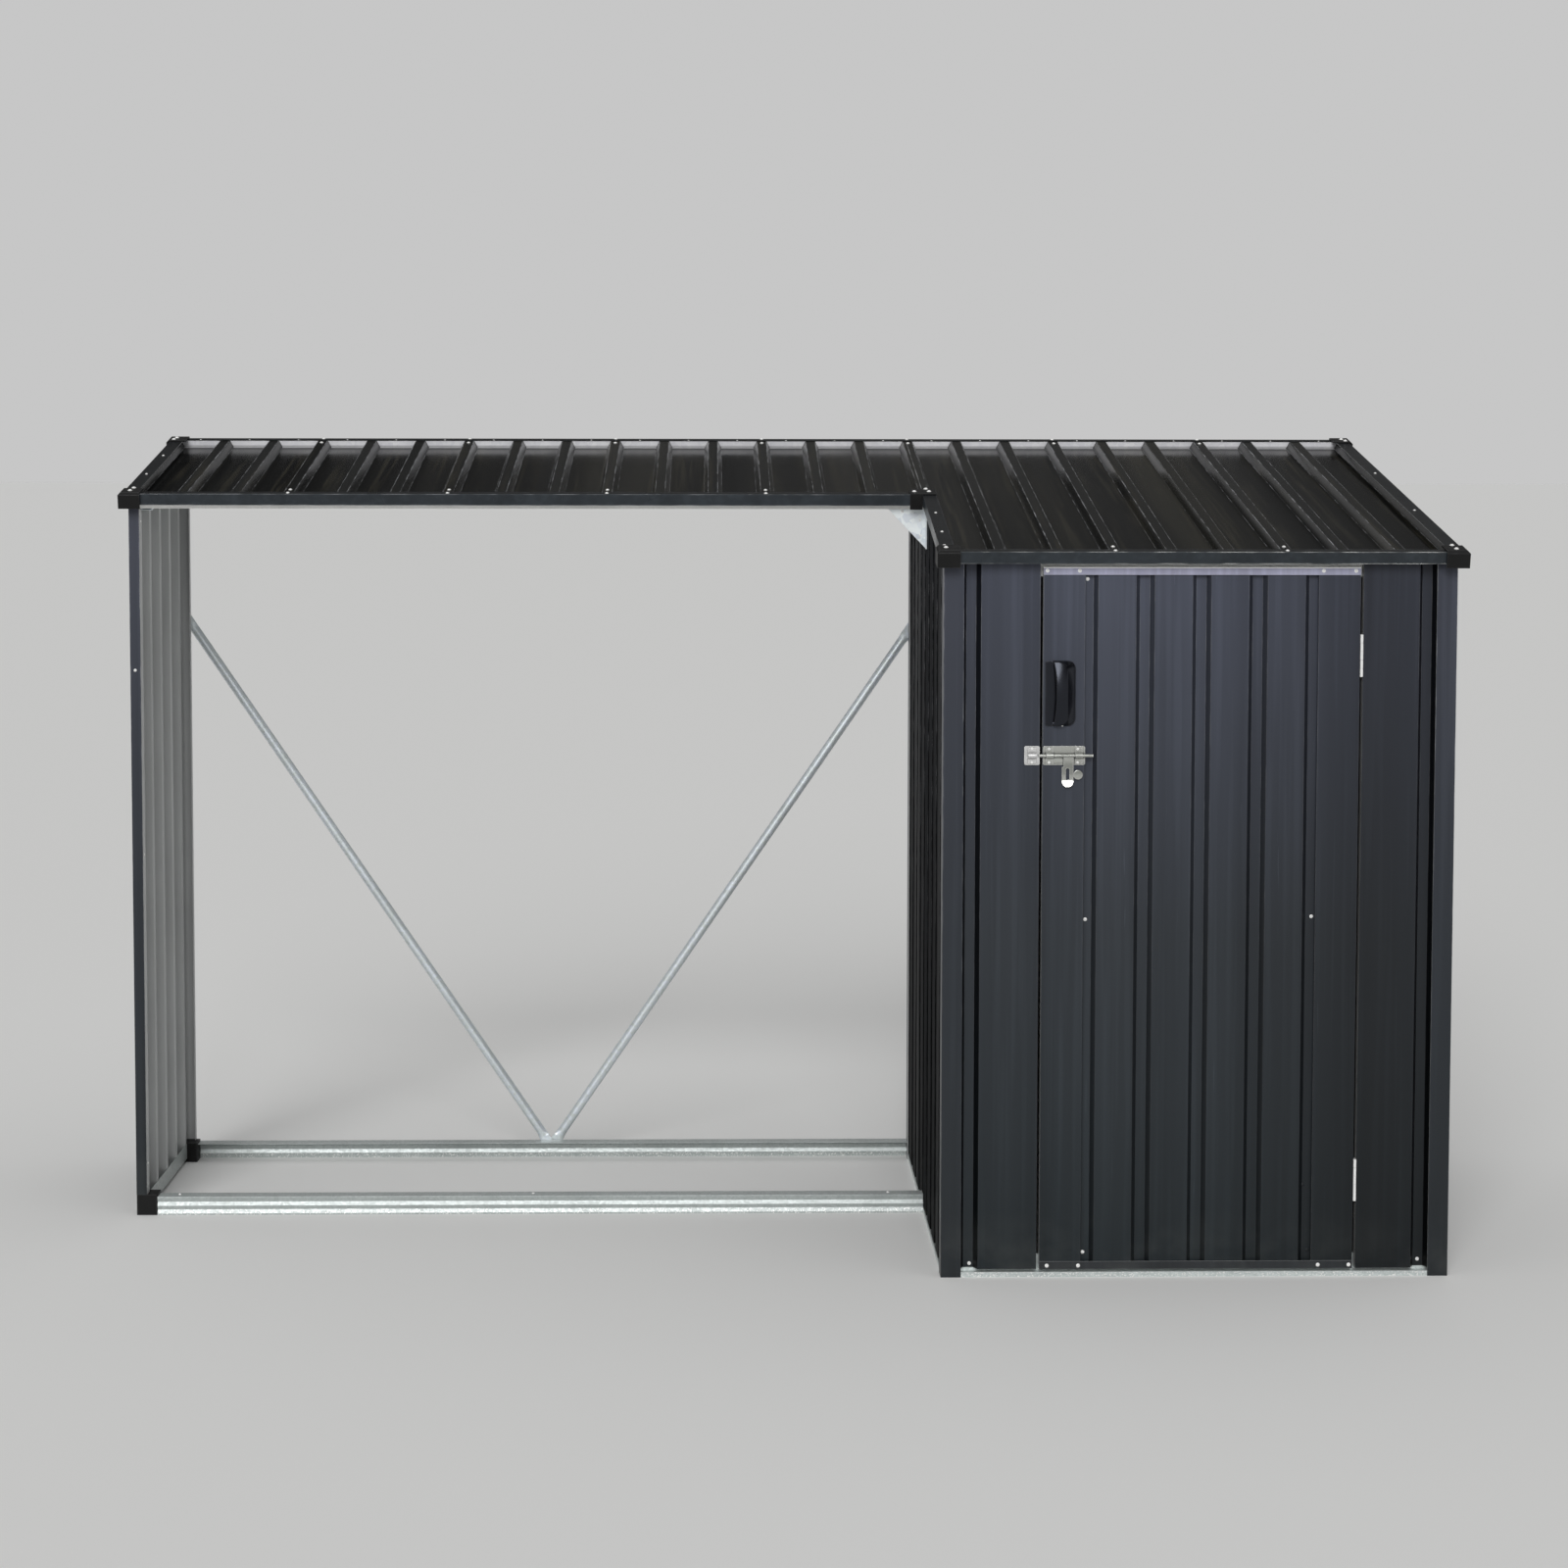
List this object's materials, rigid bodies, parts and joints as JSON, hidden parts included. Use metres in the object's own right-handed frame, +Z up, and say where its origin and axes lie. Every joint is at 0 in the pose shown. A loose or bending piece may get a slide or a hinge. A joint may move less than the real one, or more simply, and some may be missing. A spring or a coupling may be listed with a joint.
{
  "type": "steel log store with tool cupboard",
  "caption": "Low pent-roofed log store of ribbed steel sheet: an open log bay beside a deeper tool cupboard with a hinged door and a barrel bolt.",
  "frame": {"origin": "on the ground, at the middle of the roof's outline", "axes": "+X to the cupboard seen from the front, +Y to the rear, +Z up; the door looks along -Y"},
  "size_m": [2.458, 0.9972, 1.5089],
  "materials": {
    "anthracite_sheet": "semi-gloss coil coat, anthracite outside, pale grey back coat inside",
    "anthracite_paint": "semi-gloss anthracite paint on folded steel",
    "roof_paint": "glossy near-black coil coat",
    "galvanised": "bright galvanised with fine spangle",
    "black_plastic": "moulded black plastic",
    "handle_plastic": "glossy moulded black plastic",
    "bolt_zinc": "bright zinc plate"
  },
  "bodies": {
    "root": {"log_roof_sheet": "roof_paint", "cupboard_roof_sheet": "roof_paint", "rear_trim": "anthracite_paint", "left_trim": "anthracite_paint", "right_trim": "anthracite_paint", "log_front_trim": "anthracite_paint", "step_trim": "anthracite_paint", "cupboard_front_trim": "anthracite_paint", "roof_corner_caps": "black_plastic", "log_bay_feet": "black_plastic", "cupboard_left_wall": "anthracite_sheet", "cupboard_right_wall": "anthracite_sheet", "cupboard_rear_wall": "anthracite_sheet", "front_panel_left": "anthracite_sheet", "front_panel_right": "anthracite_sheet", "log_side_wall": "anthracite_sheet", "front_left_post": "anthracite_paint", "front_right_post": "anthracite_paint", "rear_left_post": "anthracite_paint", "rear_right_post": "anthracite_paint", "log_front_post": "anthracite_paint", "log_rear_post": "anthracite_paint", "cupboard_front_base": "galvanised", "cupboard_rear_base": "galvanised", "cupboard_side_bases": "galvanised", "door_head": "galvanised", "cupboard_rear_beam": "galvanised", "cupboard_rafters": "galvanised", "log_front_rail": "galvanised", "log_rear_rail": "galvanised", "log_side_rail": "galvanised", "log_front_beam": "galvanised", "log_rear_beam": "galvanised", "log_side_rafter": "galvanised", "back_braces": "galvanised", "corner_gusset": "galvanised", "hinge_frame_leaves": "bolt_zinc", "bolt_staple": "bolt_zinc"},
    "door": {"door_sheet": "anthracite_sheet", "door_stiles": "anthracite_sheet", "door_rails": "anthracite_paint", "hinge_door_leaves": "bolt_zinc", "door_handle": "handle_plastic", "bolt_plate": "bolt_zinc"},
    "bolt": {"bolt_rod": "bolt_zinc"}
  },
  "joints": [
    {"name": "door_swing", "type": "hinge", "parent": "root", "child": "door", "pos_m": [1.0461, -0.46707, 0.64], "axis": [0, 0, 1], "range_deg": [0, 110]},
    {"name": "bolt_slide", "type": "slide", "parent": "door", "child": "bolt", "axis": [-1, 0, 0], "range_m": [0, 0.0185]}
  ]
}
